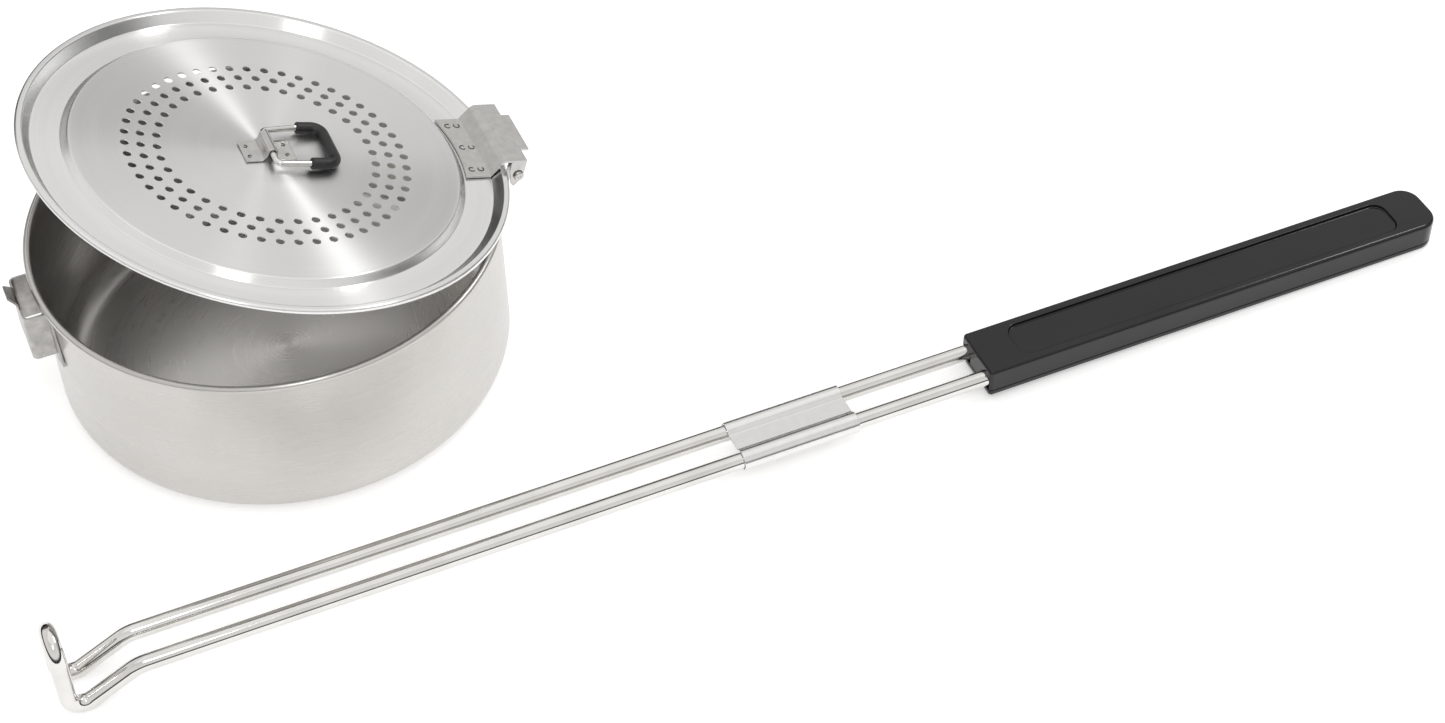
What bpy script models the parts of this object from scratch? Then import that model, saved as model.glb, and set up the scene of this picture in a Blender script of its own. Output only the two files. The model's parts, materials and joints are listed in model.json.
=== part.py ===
"""Campfire popcorn maker: a lidded steel pan with a detached two-rod handle lying beside it.

The pan stands on the origin, +Z up, with its lid hinge towards +X and its handle socket towards -X.
The handle lies on the same surface, parallel to the X axis. All lengths are in metres.
"""

import math

import bmesh
import bpy
from mathutils import Matrix, Vector

MM = 0.001
GAP = 0.3 * MM  # clearance between pieces that touch

# Pan
PAN_RADIUS = 109.8 * MM  # outside of the wall
PAN_HEIGHT = 89.0 * MM
PAN_SHEET = 0.8 * MM
PAN_CORNER = 12.0 * MM  # outside radius between base and wall
BEAD_RADIUS = 1.85 * MM  # rolled edge round the mouth
RIM_RADIUS = 113.1 * MM  # outside of the rolled edge
PAN_SEGMENTS = 64

# Lid, with its levels given for the closed lid
LID_SHEET = 0.6 * MM
PLATEAU_TOP = 89.7 * MM
PLATEAU_RADIUS = 90.6 * MM
SHELF_TOP = 86.3 * MM
SHELF_INNER = 93.9 * MM
SHELF_OUTER = 107.4 * MM
CROWN_TOP = 91.3 * MM
LID_RADIUS = 114.5 * MM
LIP_BOTTOM = 89.4 * MM
LID_SEGMENTS = 52
HOLE_RADIUS = 2.05 * MM
HOLE_SIDES = 6
HOLE_ROWS = (  # radius of the row, number of holes, angle of the first one from +X in degrees
    (50.8 * MM, 37, -4.05),
    (58.15 * MM, 43, 2.7),
    (65.4 * MM, 49, 0.45),
)
LID_REST_ANGLE = math.radians(17.85)  # how far the lid stands open at rest

# Lid hinge
HINGE_X = 119.2 * MM
HINGE_Z = 87.0 * MM
PIN_RADIUS = 1.6 * MM
PIN_HEAD_RADIUS = 2.6 * MM
PIN_HEAD_LENGTH = 1.2 * MM
LEAF_SHEET = 1.0 * MM
LEAF_HALF_WIDTH = 22.4 * MM
LEAF_TONGUE_HALF = 13.5 * MM
LEAF_FOOT_X = 104.6 * MM
LEAF_KNEE_X = 110.0 * MM
LEAF_HAT_TOP = 95.8 * MM
LEAF_EAR_EDGE = 121.8 * MM
LEAF_TONGUE_EDGE = 126.0 * MM
BASE_HALF_WIDTH = 16.2 * MM
BASE_EAR_RADIUS = 3.2 * MM

# Bail on the lid
BAIL_X = -0.5 * MM
BAIL_WIRE = 1.5 * MM  # wire radius
BAIL_AXLE_HEIGHT = 4.9 * MM  # above the plateau
BAIL_REACH = 29.5 * MM
BAIL_NEAR_Y = -14.6 * MM
BAIL_FAR_Y = 12.6 * MM
BAIL_FAR_ROOT_Y = 10.0 * MM
STRAP_SHEET = 0.8 * MM
STRAP_HALF_WIDTH = 7.4 * MM
SLEEVE_RADIUS = 2.8 * MM
SLEEVE_START = 16.5 * MM  # from the axle

# Handle socket on the pan
SOCKET_SHEET = 1.0 * MM
SOCKET_HALF_WIDTH = 15.2 * MM
SOCKET_DEPTH = 11.0 * MM
SOCKET_BOTTOM = 57.0 * MM
SOCKET_TOP = 83.0 * MM
FLANGE_BOTTOM = 52.5 * MM
FLANGE_BOTTOM_HALF = 20.7 * MM
FLANGE_TOP_HALF = 15.6 * MM

# Handle, in its own frame: X along the rods towards the grip, Z = 0 in the plane of the rods
HANDLE_Y = -164.2 * MM
HANDLE_YAW = math.radians(0.41)
ROD_RADIUS = 4.0 * MM
ROD_HALF_SPACING = 9.5 * MM
ROD_END = 352.0 * MM
HOOK_X = -155.3 * MM
STEP_X = -122.5 * MM  # where the rods start to drop towards the hook
STEP_ANGLE = math.radians(27.5)
HOOK_BEND = 7.0 * MM
HOOK_RISE = 25.5 * MM  # top of the hook's loop above the plane of the rods
SLIDER_START = 168.0 * MM
SLIDER_LENGTH = 59.5 * MM
SLIDER_SHEET = 0.9 * MM
SLIDER_WEB_Z = 2.3 * MM
SLIDER_WEB_HALF = 4.5 * MM
GRIP_START = 296.5 * MM
GRIP_END = 553.0 * MM
GRIP_HALF_WIDTH = 15.0 * MM
GRIP_HALF_HEIGHT = 8.0 * MM
GRIP_PARTING_Z = -4.35 * MM
GRIP_WALL = 1.2 * MM
GRIP_REAR_RADIUS = 10.0 * MM
PANEL_START = 316.5 * MM
PANEL_END = 532.0 * MM
PANEL_HALF_WIDTH = 10.4 * MM
PANEL_RADIUS = 6.5 * MM
PANEL_DEPTH = 1.4 * MM
SCREW_X = (344.0 * MM, 506.0 * MM)
SCREW_RADIUS = 1.5 * MM
SCREW_HEAD_RADIUS = 2.9 * MM
BOSS_RADIUS = 4.2 * MM


def clear_scene():
    for item in list(bpy.context.scene.objects):
        bpy.data.objects.remove(item, do_unlink=True)


def make_material(name, colour, metallic, roughness):
    material = bpy.data.materials.new(name)
    material.use_nodes = True
    shader = material.node_tree.nodes["Principled BSDF"]
    shader.inputs["Base Color"].default_value = (*colour, 1.0)
    shader.inputs["Metallic"].default_value = metallic
    shader.inputs["Roughness"].default_value = roughness
    return material


def add_object(name, bm, material, parent=None, origin=(0.0, 0.0, 0.0)):
    """Makes an object from a bmesh whose points are given in the parent's frame, with its origin at origin."""
    bmesh.ops.recalc_face_normals(bm, faces=bm.faces)
    bmesh.ops.translate(bm, verts=bm.verts, vec=-Vector(origin))
    mesh = bpy.data.meshes.new(name)
    bm.to_mesh(mesh)
    bm.free()
    mesh.shade_smooth()
    mesh.set_sharp_from_angle(angle=math.radians(35))
    mesh.materials.append(material)
    item = bpy.data.objects.new(name, mesh)
    item.location = origin
    item.parent = parent
    bpy.context.scene.collection.objects.link(item)
    return item


def add_empty(name, location, rotation=(0.0, 0.0, 0.0), parent=None):
    empty = bpy.data.objects.new(name, None)
    empty.empty_display_size = 20 * MM
    empty.location = location
    empty.rotation_euler = rotation
    empty.parent = parent
    bpy.context.scene.collection.objects.link(empty)
    return empty


def arc(centre, radius, start, end, steps):
    """Points of a flat arc, angles in degrees, both ends included."""
    points = []
    for i in range(steps + 1):
        angle = math.radians(start + (end - start) * i / steps)
        points.append((centre[0] + radius * math.cos(angle), centre[1] + radius * math.sin(angle)))
    return points


def sheet_outline(path, thickness):
    """Closed outline of a bent sheet whose middle line is the flat path, with mitred corners."""
    points = [Vector(p) for p in path]
    left = []
    right = []
    for i, point in enumerate(points):
        before = (point - points[i - 1]).normalized() if i > 0 else None
        after = (points[i + 1] - point).normalized() if i < len(points) - 1 else None
        before = before or after
        after = after or before
        across = Vector((-(before + after).y, (before + after).x)).normalized()
        square = Vector((-before.y, before.x))
        reach = thickness / 2 / max(across.dot(square), 0.5)
        left.append(point + across * reach)
        right.append(point - across * reach)
    return left + right[::-1]


def prism(outline, low, high, place):
    """Closed solid: the flat outline, swept from low to high, with place(u, v, w) giving each point."""
    bm = bmesh.new()
    ends = []
    for w in (low, high):
        ends.append([bm.verts.new(place(u, v, w)) for u, v in outline])
    bm.faces.new(ends[0])
    bm.faces.new(ends[1][::-1])
    for i in range(len(outline)):
        j = (i + 1) % len(outline)
        bm.faces.new((ends[0][i], ends[1][i], ends[1][j], ends[0][j]))
    return bm


def along_x(u, v, w):
    return (w, u, v)


def along_y(u, v, w):
    return (u, w, v)


def along_z(u, v, w):
    return (u, v, w)


def ring(bm, radius, z, count):
    return [
        bm.verts.new((radius * math.cos(math.tau * i / count), radius * math.sin(math.tau * i / count), z))
        for i in range(count)
    ]


def join_rings(bm, lower, upper):
    count = len(lower)
    for i in range(count):
        j = (i + 1) % count
        bm.faces.new((lower[i], lower[j], upper[j], upper[i]))


def lathe(profile, segments):
    """Solid of revolution about Z. The profile starts and ends on the axis, or else it is a closed loop."""
    bm = bmesh.new()
    on_axis = profile[0][0] == 0
    rings = [ring(bm, r, z, segments) for r, z in profile if r > 0]
    for lower, upper in zip(rings, rings[1:]):
        join_rings(bm, lower, upper)
    if on_axis:
        for loop, z in ((rings[0], profile[0][1]), (rings[-1], profile[-1][1])):
            pole = bm.verts.new((0, 0, z))
            for i in range(segments):
                bm.faces.new((pole, loop[i], loop[(i + 1) % segments]))
    else:
        join_rings(bm, rings[-1], rings[0])
    return bm


def round_corners(points, radii, steps):
    """A path through the points whose inner corners are arcs of the given radii."""
    path = [Vector(points[0])]
    for i in range(1, len(points) - 1):
        corner = Vector(points[i])
        back = (Vector(points[i - 1]) - corner).normalized()
        ahead = (Vector(points[i + 1]) - corner).normalized()
        half = back.angle(ahead) / 2
        tangent = radii[i - 1] / math.tan(half)
        start = corner + back * tangent
        centre = corner + (back + ahead).normalized() * (radii[i - 1] / math.sin(half))
        normal = back.cross(ahead).normalized()
        sweep = math.pi - 2 * half
        spoke = start - centre
        for k in range(steps + 1):
            path.append(centre + Matrix.Rotation(-sweep * k / steps, 3, normal) @ spoke)
    path.append(Vector(points[-1]))
    return path


def tube(path, radius, sides, bore=None):
    """Round bar along the path, or a pipe when a bore radius is given."""
    bm = bmesh.new()
    count = len(path)

    def direction(i):
        return (path[min(i + 1, count - 1)] - path[max(i - 1, 0)]).normalized()

    first = direction(0)
    side = first.orthogonal().normalized()
    skins = [[], []]
    previous = first
    for i, point in enumerate(path):
        heading = direction(i)
        side = previous.rotation_difference(heading) @ side
        side = (side - heading * side.dot(heading)).normalized()
        up = heading.cross(side)
        previous = heading
        for skin, r in zip(skins, (radius, bore)):
            if r is None:
                continue
            angles = [math.tau * k / sides for k in range(sides)]
            skin.append([bm.verts.new(point + (side * math.cos(a) + up * math.sin(a)) * r) for a in angles])
    for skin in skins:
        for lower, upper in zip(skin, skin[1:]):
            join_rings(bm, lower, upper)
    if bore is not None:
        join_rings(bm, skins[0][0], skins[1][0])
        join_rings(bm, skins[0][-1], skins[1][-1])
    else:
        bm.faces.new(skins[0][0])
        bm.faces.new(skins[0][-1])
    return bm


def combine(item, others, operation):
    """Joins or cuts the item with other objects, and leaves one mesh behind."""
    for other in others:
        modifier = item.modifiers.new(operation.lower(), "BOOLEAN")
        modifier.operation = operation
        modifier.solver = "EXACT"
        modifier.object = other
    bpy.context.view_layer.update()
    graph = bpy.context.evaluated_depsgraph_get()
    mesh = bpy.data.meshes.new_from_object(item.evaluated_get(graph))
    item.modifiers.clear()
    item.data = mesh
    for other in others:
        bpy.data.objects.remove(other, do_unlink=True)


def make_pan(steel):
    inner = PAN_RADIUS - PAN_SHEET
    bead_r = RIM_RADIUS - BEAD_RADIUS
    bead_z = PAN_HEIGHT - BEAD_RADIUS
    foot = (PAN_RADIUS - PAN_CORNER, PAN_CORNER)
    outer_turn = math.degrees(math.acos((PAN_RADIUS - bead_r) / BEAD_RADIUS))
    profile = [(0.0, 0.0)]
    profile += arc(foot, PAN_CORNER, -90, 0, 4)
    profile += arc((bead_r, bead_z), BEAD_RADIUS, -outer_turn, 180, 8)
    profile += [(inner, bead_z - 1.6 * MM)]
    profile += arc(foot, PAN_CORNER - PAN_SHEET, 0, -90, 4)
    profile += [(0.0, PAN_SHEET)]
    return add_object("pot_body", lathe(profile, PAN_SEGMENTS), steel)


def on_wall(u, v, w):
    """A point at the lateral distance u, the height v and the depth w from the socket side of the wall."""
    return (-math.sqrt((PAN_RADIUS + GAP + w) ** 2 - u**2), u, v)


def make_socket(steel):
    """Channel open at top and bottom, with a flange welded to the wall on each side and a flared lip."""
    face = -PAN_RADIUS - SOCKET_DEPTH + SOCKET_SHEET / 2
    root = -PAN_RADIUS + 0.3 * MM
    half = SOCKET_HALF_WIDTH - SOCKET_SHEET / 2
    corner = 2.4 * MM
    turns = [(root, -half, 0), (face, -half, 0), (face, half, 0), (root, half, 0)]
    path = round_corners(turns, [corner, corner], 4)
    outline = sheet_outline([(p.x, p.y) for p in path], SOCKET_SHEET)
    socket = add_object("handle_socket", prism(outline, SOCKET_BOTTOM, SOCKET_TOP, along_z), steel)
    flange = [(half, SOCKET_TOP - 3.0 * MM), (FLANGE_TOP_HALF, SOCKET_TOP - 3.0 * MM)]
    flange += [(FLANGE_BOTTOM_HALF, FLANGE_BOTTOM), (half, FLANGE_BOTTOM)]
    lip_path = [
        (face, SOCKET_TOP - 3.0 * MM),
        (face, SOCKET_TOP + 0.6 * MM),
        (face - 0.7 * MM, SOCKET_TOP + 2.4 * MM),
        (face - 2.2 * MM, SOCKET_TOP + 4.4 * MM),
        (face - 4.0 * MM, SOCKET_TOP + 6.0 * MM),
    ]
    lip_outline = sheet_outline(lip_path, SOCKET_SHEET - 0.1 * MM)
    root_half = 7.2 * MM
    lip = prism(lip_outline, -root_half, root_half, along_y)
    for vert in lip.verts:
        rise = max(0.0, vert.co.z - SOCKET_TOP)
        vert.co.y -= math.copysign(0.42 * rise, vert.co.y)
    added = [add_object("socket_lip", lip, steel)]
    for side in (-1, 1):
        sided = [(side * u, v) for u, v in flange]
        added.append(add_object("socket_flange", prism(sided, 0, SOCKET_SHEET, on_wall), steel))
    combine(socket, added, "UNION")
    return socket


def drill(name, material, start, end, radius, sides=12):
    path = [Vector(start), Vector(end)]
    return add_object(name, tube(path, radius, sides), material)


def make_hinge_base(steel):
    """Bracket on the wall below the rolled edge, whose two ears carry the pin."""
    thick = LEAF_SHEET
    middle = PAN_RADIUS + GAP + thick / 2
    inner = BASE_HALF_WIDTH - thick
    half = BASE_HALF_WIDTH - thick / 2
    low, high = 66.0 * MM, 82.5 * MM
    spread = math.degrees(math.asin((half - 1.5 * MM) / middle))
    path = [(middle + 1.6 * MM, -half), (middle - 0.2 * MM, -half)]
    path += arc((0, 0), middle, -spread, spread, 6)
    path += [(middle - 0.2 * MM, half), (middle + 1.6 * MM, half)]
    bracket = add_object("hinge_base", prism(sheet_outline(path, thick), low, high, along_z), steel)
    ear = [(middle + 0.6 * MM, high - 0.4 * MM), (middle + 0.6 * MM, low + 1.0 * MM)]
    ear += [(middle + 1.8 * MM, low + 1.0 * MM), (middle + 2.2 * MM, 77.0 * MM)]
    ear += arc((HINGE_X, HINGE_Z), BASE_EAR_RADIUS, -60, 190, 8)
    ear += [(HINGE_X - 5.6 * MM, HINGE_Z - 1.8 * MM), (middle + 1.5 * MM, high - 0.5 * MM)]
    ears = []
    for side in (-1, 1):
        near, far = sorted((side * inner, side * BASE_HALF_WIDTH))
        ears.append(add_object("base_ear", prism(ear, near, far, along_y), steel))
    combine(bracket, ears, "UNION")
    cut = drill(
        "base_bore",
        steel,
        (HINGE_X, -2 * BASE_HALF_WIDTH, HINGE_Z),
        (HINGE_X, 2 * BASE_HALF_WIDTH, HINGE_Z),
        PIN_RADIUS + GAP,
    )
    combine(bracket, [cut], "DIFFERENCE")
    return bracket


def make_hinge_pin(steel):
    """Rivet through all four ears, with a head at each end."""
    shank = LEAF_HALF_WIDTH + GAP
    end = shank + PIN_HEAD_LENGTH
    neck = PIN_HEAD_RADIUS - 0.5 * MM
    profile = [(0.0, -end), (neck, -end), (PIN_HEAD_RADIUS, -end + 0.5 * MM), (PIN_HEAD_RADIUS, -shank)]
    profile += [(PIN_RADIUS, -shank), (PIN_RADIUS, shank)]
    profile += [(PIN_HEAD_RADIUS, shank), (PIN_HEAD_RADIUS, end - 0.5 * MM), (neck, end), (0.0, end)]
    bm = lathe(profile, 12)
    bmesh.ops.rotate(bm, verts=bm.verts, matrix=Matrix.Rotation(math.radians(90), 3, "X"))
    bmesh.ops.translate(bm, verts=bm.verts, vec=(HINGE_X, 0, HINGE_Z))
    return add_object("hinge_pin", bm, steel, origin=(HINGE_X, 0, HINGE_Z))


def lid_outline():
    """Section of the lid's sheet from the edge of its plateau to the lip, as a closed outline."""
    half = LID_SHEET / 2
    plateau = PLATEAU_TOP - half
    shelf = SHELF_TOP - half
    crown = CROWN_TOP - half
    edge = LID_RADIUS - half
    path = [
        (PLATEAU_RADIUS - 0.6 * MM, plateau),
        (PLATEAU_RADIUS + 0.3 * MM, plateau - 0.3 * MM),
        (SHELF_INNER - 0.7 * MM, shelf + 0.4 * MM),
        (SHELF_INNER, shelf),
        (SHELF_OUTER, shelf),
        (SHELF_OUTER + 0.6 * MM, shelf + 0.5 * MM),
        (SHELF_OUTER + 3.3 * MM, crown - 0.5 * MM),
        (SHELF_OUTER + 4.0 * MM, crown),
        (edge - 1.3 * MM, crown),
        (edge - 0.3 * MM, crown - 0.4 * MM),
        (edge, LIP_BOTTOM),
    ]
    return sheet_outline(path, LID_SHEET)


def make_lid(steel, parent):
    """Pressed disc: a plateau with three rows of holes, a shelf, and a raised edge over the pan's rim."""
    bm = bmesh.new()
    loops = [ring(bm, r, z, LID_SEGMENTS) for r, z in lid_outline()]
    for lower, upper in zip(loops, loops[1:]):
        join_rings(bm, lower, upper)
    bm.faces.new(loops[0])
    bm.faces.new(loops[-1])
    lid = add_object("lid_panel", bm, steel)
    drills = bmesh.new()
    for radius, count, first in HOLE_ROWS:
        for k in range(count):
            angle = math.radians(first + 360 * k / count)
            centre = (radius * math.cos(angle), radius * math.sin(angle))
            hole = arc(centre, HOLE_RADIUS, math.degrees(angle), math.degrees(angle) + 360, HOLE_SIDES)[:-1]
            ends = [[drills.verts.new((x, y, PLATEAU_TOP + z)) for x, y in hole] for z in (-2 * MM, 1 * MM)]
            drills.faces.new(ends[0])
            drills.faces.new(ends[1])
            join_rings(drills, ends[0], ends[1])
    combine(lid, [add_object("lid_drills", drills, steel)], "DIFFERENCE")
    lid.data.transform(Matrix.Translation((-HINGE_X, 0, -HINGE_Z)))
    lid.parent = parent
    return lid


def make_hinge_leaf(steel, parent):
    """Plate on the lid's shelf that climbs over the rim, with two ears folded down over the pin."""
    lift = SHELF_TOP + GAP + LEAF_SHEET / 2
    hat = LEAF_HAT_TOP - LEAF_SHEET / 2
    turns = [(80.0 * MM, lift, 0), (LEAF_FOOT_X, lift, 0), (LEAF_KNEE_X, hat, 0), (LEAF_TONGUE_EDGE, hat, 0)]
    path = round_corners(turns, [1.6 * MM, 3.0 * MM], 3)
    outline = sheet_outline([(p.x, p.y) for p in path], LEAF_SHEET)
    leaf = add_object("hinge_leaf", prism(outline, -LEAF_HALF_WIDTH, LEAF_HALF_WIDTH, along_y), steel)
    ears = []
    ear_top = hat + 0.1 * MM
    ear = [(114.2 * MM, ear_top), (114.2 * MM, HINGE_Z + 3.0 * MM), (116.6 * MM, HINGE_Z - 5.2 * MM)]
    ear += [(118.2 * MM, HINGE_Z - 6.6 * MM), (LEAF_EAR_EDGE, HINGE_Z - 1.6 * MM), (LEAF_EAR_EDGE, ear_top)]
    for side in (-1, 1):
        low, high = sorted((side * LEAF_HALF_WIDTH, side * (LEAF_HALF_WIDTH - LEAF_SHEET)))
        ears.append(add_object("leaf_ear", prism(ear, low, high, along_y), steel))
    combine(leaf, ears, "UNION")
    cutters = [
        # the inner edge follows the round step of the plateau
        add_object("leaf_arc", tube([Vector((0, 0, 80 * MM)), Vector((0, 0, 92 * MM))], 94.9 * MM, 96), steel),
        drill(
            "leaf_bore",
            steel,
            (HINGE_X, -2 * LEAF_HALF_WIDTH, HINGE_Z),
            (HINGE_X, 2 * LEAF_HALF_WIDTH, HINGE_Z),
            PIN_RADIUS + GAP,
        ),
    ]
    for side in (-1, 1):
        # the tongue between the ears stands further out than they do
        near = LEAF_TONGUE_HALF * side
        notch = [(LEAF_EAR_EDGE, near), (LEAF_EAR_EDGE, 30 * MM * side), (130 * MM, 30 * MM * side), (130 * MM, near)]
        cutters.append(add_object("leaf_notch", prism(notch, 90 * MM, 100 * MM, along_z), steel))
    combine(leaf, cutters, "DIFFERENCE")
    leaf.data.transform(Matrix.Translation((-HINGE_X, 0, -HINGE_Z)))
    leaf.parent = parent
    return leaf


def make_bail(steel, rubber, lid):
    """Strap across the middle of the lid, the wire that turns in it, and the sleeve on the wire."""
    axle_z = PLATEAU_TOP + BAIL_AXLE_HEIGHT
    shift = Vector((-HINGE_X, 0, -HINGE_Z))
    base = PLATEAU_TOP + GAP + STRAP_SHEET / 2
    wrap = BAIL_WIRE + GAP + STRAP_SHEET / 2
    loop = arc((BAIL_X, axle_z), wrap, 190, -10, 8)
    path = [(BAIL_X - 12.0 * MM, base), (BAIL_X - 5.2 * MM, base), (BAIL_X - 3.6 * MM, base + 0.6 * MM)]
    path += loop
    path += [(BAIL_X + 2.6 * MM, base + 0.7 * MM), (BAIL_X + 3.6 * MM, base), (BAIL_X + 12.4 * MM, base)]
    outline = sheet_outline(path, STRAP_SHEET)
    strap = prism(outline, -STRAP_HALF_WIDTH, STRAP_HALF_WIDTH, along_y)
    bmesh.ops.translate(strap, verts=strap.verts, vec=shift)
    add_object("bail_bracket", strap, steel, lid)

    axle = Vector((BAIL_X, 0, axle_z))
    droop = -(BAIL_AXLE_HEIGHT - SLEEVE_RADIUS - GAP) / BAIL_REACH
    pivot = add_empty("bail_pivot", axle + shift, parent=lid)

    def at(x, y):
        return Vector((x, y, droop * x))

    start = STRAP_HALF_WIDTH - 1.0 * MM
    corners = [
        (0, start, 0),
        at(0, BAIL_FAR_ROOT_Y),
        at(SLEEVE_START, BAIL_FAR_Y),
        at(BAIL_REACH, BAIL_FAR_Y),
        at(BAIL_REACH, BAIL_NEAR_Y),
        at(0, BAIL_NEAR_Y),
        (0, start - GAP, 0),
    ]
    loop_path = round_corners(corners, [2.2 * MM, 3.0 * MM, 5.0 * MM, 5.0 * MM, 2.6 * MM], 4)
    wire = tube(loop_path, BAIL_WIRE, 8)
    add_object("bail_wire", wire, steel, pivot)
    sleeve_path = round_corners(
        [
            at(SLEEVE_START + 1.0 * MM, BAIL_FAR_Y),
            at(BAIL_REACH, BAIL_FAR_Y),
            at(BAIL_REACH, BAIL_NEAR_Y),
            at(SLEEVE_START, BAIL_NEAR_Y),
        ],
        [5.0 * MM, 5.0 * MM],
        5,
    )
    add_object("bail_grip", tube(sleeve_path, SLEEVE_RADIUS, 10, bore=BAIL_WIRE + GAP), rubber, pivot)


def hook_path():
    """Centre line of the bent wire: one rod, the step, the loop of the hook, and back along the other rod."""
    y = ROD_HALF_SPACING
    step_end_z = -(STEP_X - HOOK_X) * math.tan(STEP_ANGLE)
    arch = ROD_HALF_SPACING
    top = HOOK_RISE - arch
    side = [(ROD_END, 0), (STEP_X, 0), (HOOK_X, step_end_z), (HOOK_X, top)]
    near = round_corners([(x, -y, z) for x, z in side], [16 * MM, HOOK_BEND], 5)
    loop = [Vector((HOOK_X, y * math.sin(math.radians(a)), top + arch * math.cos(math.radians(a))))
            for a in range(-75, 90, 15)]
    far = [Vector((p.x, -p.y, p.z)) for p in reversed(near)]
    return near + loop + far


def make_handle(steel, plastic, screw_steel):
    path = hook_path()
    hook_low = min(path, key=lambda p: p.z)
    low_z = hook_low.z - ROD_RADIUS
    contact_x = GRIP_END - GRIP_REAR_RADIUS
    # the handle rests on the bend of its hook and on the rear of its grip, so its rods slope a little
    pitch = math.atan2(-GRIP_HALF_HEIGHT - low_z, contact_x - hook_low.x)
    lift = hook_low.x * math.sin(pitch) - low_z * math.cos(pitch)
    frame = add_empty("handle_frame", (0, HANDLE_Y, lift), (0, pitch, HANDLE_YAW))
    add_object("handle_wire", tube(path, ROD_RADIUS, 10), steel, frame)
    make_slider(steel, frame)
    make_grip(plastic, screw_steel, frame)
    return frame


def make_slider(steel, frame):
    """Sheet wrapped round both rods, with a flat web between them."""
    wrap = ROD_RADIUS + GAP + SLIDER_SHEET / 2
    near = arc((-ROD_HALF_SPACING, 0), wrap, 285, 30, 12)
    far = [(-y, z) for y, z in reversed(near)]
    path = near + [(-SLIDER_WEB_HALF, SLIDER_WEB_Z), (SLIDER_WEB_HALF, SLIDER_WEB_Z)] + far
    bm = prism(sheet_outline(path, SLIDER_SHEET), 0, SLIDER_LENGTH, along_x)
    slider_frame = add_empty("slider_frame", (SLIDER_START, 0, 0), parent=frame)
    add_object("slider", bm, steel, slider_frame)


def rounded_box(x0, x1, half, front, rear, steps):
    """Flat outline of a bar with its own corner radii at the front and rear."""
    outline = []
    for cx, cy, radius, start in (
        (x1 - rear, half - rear, rear, 0),
        (x0 + front, half - front, front, 90),
        (x0 + front, -half + front, front, 180),
        (x1 - rear, -half + rear, rear, 270),
    ):
        turn = steps if radius > 2 * MM else 2
        outline += arc((cx, cy), radius, start + 90, start, turn)[::-1]
    return outline


def stacked(levels):
    """Solid with a face at each end, from outlines with the same number of points at rising heights."""
    bm = bmesh.new()
    loops = [[bm.verts.new((x, y, z)) for x, y in outline] for outline, z in levels]
    bm.faces.new(loops[0])
    bm.faces.new(loops[-1])
    for lower, upper in zip(loops, loops[1:]):
        join_rings(bm, lower, upper)
    return bm


def grip_level(inset, z):
    front = max(1.2 * MM, 2.0 * MM - inset)
    rear = GRIP_REAR_RADIUS - inset
    return rounded_box(GRIP_START + inset, GRIP_END - inset, GRIP_HALF_WIDTH - inset, front, rear, 6), z


def make_grip(plastic, screw_steel, frame):
    top = GRIP_HALF_HEIGHT
    levels = [(0.0, GRIP_PARTING_Z), (0.15 * MM, top - 1.8 * MM), (0.7 * MM, top - 0.6 * MM), (1.8 * MM, top)]
    upper = add_object("grip_upper", stacked([grip_level(*level) for level in levels]), plastic)
    cavity = [(GRIP_WALL, GRIP_PARTING_Z - 1 * MM), (GRIP_WALL, top - PANEL_DEPTH - GRIP_WALL)]
    cutters = [add_object("grip_cavity", stacked([grip_level(*level) for level in cavity]), plastic)]
    panel = []
    for grow, z in ((-0.9 * MM, top - PANEL_DEPTH), (0.0, top - 0.3 * MM), (0.6 * MM, top + 0.3 * MM)):
        corner = PANEL_RADIUS + grow
        x0, x1 = PANEL_START - grow, PANEL_END + grow
        panel.append((rounded_box(x0, x1, PANEL_HALF_WIDTH + grow, corner, corner, 5), z))
    cutters.append(add_object("grip_panel", stacked(panel), plastic))
    slot = ROD_RADIUS + GAP - 0.05 * MM
    for side in (-1, 1):
        y = side * ROD_HALF_SPACING
        outline = [(y - slot, GRIP_PARTING_Z - 1 * MM), (y + slot, GRIP_PARTING_Z - 1 * MM)]
        outline += arc((y, 0), slot, 0, 180, 6)
        notch = prism(outline, GRIP_START - 5 * MM, GRIP_START + 4 * GRIP_WALL, along_x)
        cutters.append(add_object("rod_notch", notch, plastic))
    combine(upper, cutters, "DIFFERENCE")
    bosses = []
    for x in SCREW_X:
        ends = (Vector((x, 0, GRIP_PARTING_Z + 0.2 * MM)), Vector((x, 0, top - PANEL_DEPTH - 0.6 * MM)))
        bosses.append(add_object("boss", tube(ends, BOSS_RADIUS, 12), plastic))
    combine(upper, bosses, "UNION")
    pilots = []
    for x in SCREW_X:
        pilots.append(drill("pilot", plastic, (x, 0, -9 * MM), (x, 0, 3.4 * MM), SCREW_RADIUS + GAP, 10))
    combine(upper, pilots, "DIFFERENCE")
    upper.parent = frame

    seam = GRIP_PARTING_Z - GAP
    bottom = -GRIP_HALF_HEIGHT
    levels = [(1.6 * MM, bottom), (0.5 * MM, bottom + 0.5 * MM), (0.0, bottom + 1.6 * MM), (0.0, seam)]
    lower = add_object("grip_lower", stacked([grip_level(*level) for level in levels]), plastic)
    holes = []
    for x in SCREW_X:
        holes.append(drill("screw_hole", plastic, (x, 0, -9 * MM), (x, 0, 0), SCREW_RADIUS + GAP, 10))
        recess = (x, 0, bottom - 1 * MM), (x, 0, bottom + 2.4 * MM)
        holes.append(drill("screw_recess", plastic, *recess, SCREW_HEAD_RADIUS + GAP, 12))
    combine(lower, holes, "DIFFERENCE")
    lower.parent = frame
    for number, x in enumerate(SCREW_X, start=1):
        head = bottom + 0.4 * MM
        neck = bottom + 2.1 * MM
        profile = [(0.0, head), (SCREW_HEAD_RADIUS, head), (SCREW_HEAD_RADIUS, neck), (SCREW_RADIUS, neck)]
        profile += [(SCREW_RADIUS, 2.4 * MM), (0.0, 3.0 * MM)]
        screw = lathe(profile, 10)
        bmesh.ops.translate(screw, verts=screw.verts, vec=(x, 0, 0))
        add_object(f"grip_screw_{number}", screw, screw_steel, frame)


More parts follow.
